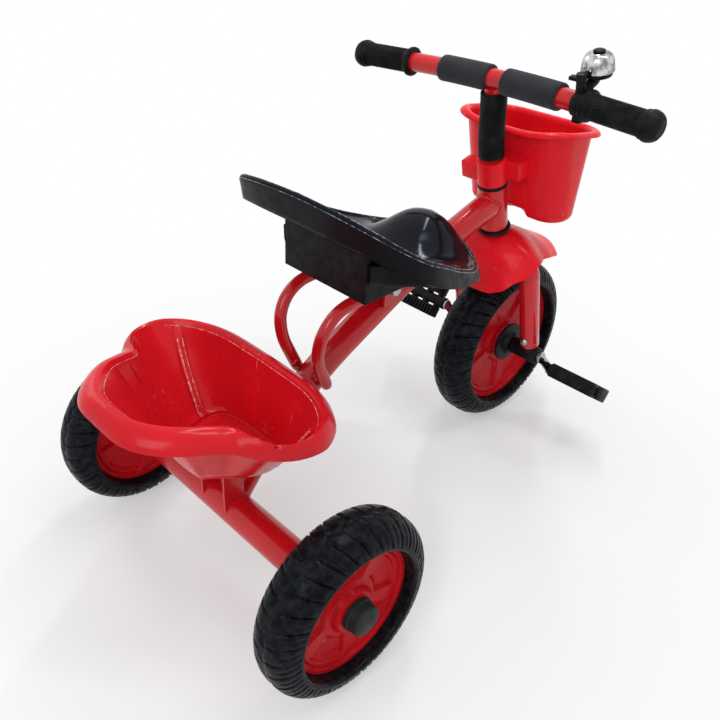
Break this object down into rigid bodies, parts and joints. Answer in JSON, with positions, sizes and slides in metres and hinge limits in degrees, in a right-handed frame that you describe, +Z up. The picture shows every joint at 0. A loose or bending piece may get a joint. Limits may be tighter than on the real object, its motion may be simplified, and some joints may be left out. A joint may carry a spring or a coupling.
{
  "type": "tricycle",
  "caption": "Child's pedal tricycle: bent tube frame, bucket seat, front wheel drive with fender, handlebar with basket and bell, and a tub between the rear wheels.",
  "frame": {"origin": "centre of the whole machine's box, on the ground", "axes": "+Y forward, +X to the rider's right, +Z up"},
  "size_m": [0.432, 0.7294, 0.54],
  "materials": {
    "red_paint": "glossy red enamel",
    "red_plastic": "glossy red moulding",
    "black_plastic": "satin black",
    "seat_plastic": "glossy black",
    "tyre_rubber": "satin black",
    "foam": "matt dark grey foam",
    "chrome": "bright plated",
    "zinc": "zinc plated",
    "grey_cap": "dark grey green"
  },
  "bodies": {
    "frame": {"main_tube": "red_paint", "head_tube": "red_paint", "head_bush_lower": "black_plastic", "head_bush_upper": "black_plastic", "rear_axle_beam": "red_paint", "beam_end_plug_right": "black_plastic", "beam_end_plug_left": "black_plastic", "rear_axle_rod": "zinc", "rear_axle_cap_right": "grey_cap", "rear_axle_cap_left": "grey_cap", "seat_loop_right": "red_paint", "seat_loop_left": "red_paint", "seat_plate": "red_paint", "seat_strap": "red_paint", "seat_bolt": "zinc", "seat_riser": "black_plastic", "seat": "seat_plastic", "rear_basket": "red_plastic", "basket_bracket": "black_plastic", "basket_bolt": "zinc"},
    "steering": {"stem": "red_paint", "fork_crown": "red_paint", "fork_leg_right": "red_paint", "fork_leg_left": "red_paint", "axle_bearing_right": "black_plastic", "axle_bearing_left": "black_plastic", "bearing_screw_right": "zinc", "bearing_screw_left": "zinc", "fender": "red_plastic", "handlebar": "red_paint", "foam_pad_left": "foam", "foam_pad_right": "foam", "stem_sleeve": "black_plastic", "grip_right": "black_plastic", "grip_left": "black_plastic", "bell_clamp": "black_plastic", "bell_base": "black_plastic", "bell_dome": "chrome", "bell_button": "black_plastic", "front_basket": "red_plastic", "basket_clamp": "red_plastic"},
    "bell_thumb": {"bell_lever": "black_plastic"},
    "front_wheel": {"front_tyre": "tyre_rubber", "front_hub": "red_plastic", "hub_flange_right": "black_plastic", "hub_flange_left": "black_plastic", "crank_axle": "chrome", "crank_arm_right": "chrome", "crank_arm_left": "chrome"},
    "pedal_right": {"pedal_right_block": "black_plastic", "pedal_right_end_cap": "grey_cap"},
    "pedal_left": {"pedal_left_block": "black_plastic", "pedal_left_end_cap": "grey_cap"},
    "rear_wheel_right": {"rear_tyre_right": "tyre_rubber", "rear_hub_right": "red_plastic", "rear_hub_bush_right": "black_plastic"},
    "rear_wheel_left": {"rear_tyre_left": "tyre_rubber", "rear_hub_left": "red_plastic", "rear_hub_bush_left": "black_plastic"}
  },
  "joints": [
    {"name": "steer", "type": "hinge", "parent": "frame", "child": "steering", "pos_m": [0, 0.19826, 0.3285], "axis": [0, -0.2331, 0.9725], "range_deg": [-45, 45]},
    {"name": "front_wheel_spin", "type": "hinge", "parent": "steering", "child": "front_wheel", "pos_m": [0, 0.24932, 0.1155], "axis": [1, 0, 0], "continuous": true},
    {"name": "pedal_right_spin", "type": "hinge", "parent": "front_wheel", "child": "pedal_right", "pos_m": [0.1203, 0.27392, 0.0873], "axis": [1, 0, 0], "continuous": true},
    {"name": "pedal_left_spin", "type": "hinge", "parent": "front_wheel", "child": "pedal_left", "pos_m": [-0.1203, 0.22472, 0.1437], "axis": [1, 0, 0], "continuous": true},
    {"name": "rear_wheel_right_spin", "type": "hinge", "parent": "frame", "child": "rear_wheel_right", "pos_m": [0.1824, -0.22568, 0.1], "axis": [1, 0, 0], "continuous": true},
    {"name": "rear_wheel_left_spin", "type": "hinge", "parent": "frame", "child": "rear_wheel_left", "pos_m": [-0.1824, -0.22568, 0.1], "axis": [1, 0, 0], "continuous": true},
    {"name": "bell_thumb_push", "type": "hinge", "parent": "steering", "child": "bell_thumb", "pos_m": [0.1115, 0.16032, 0.5124], "axis": [0, -0.158, 0.9874], "range_deg": [-15, 0], "stiffness_Nm_per_rad": 0.02}
  ]
}
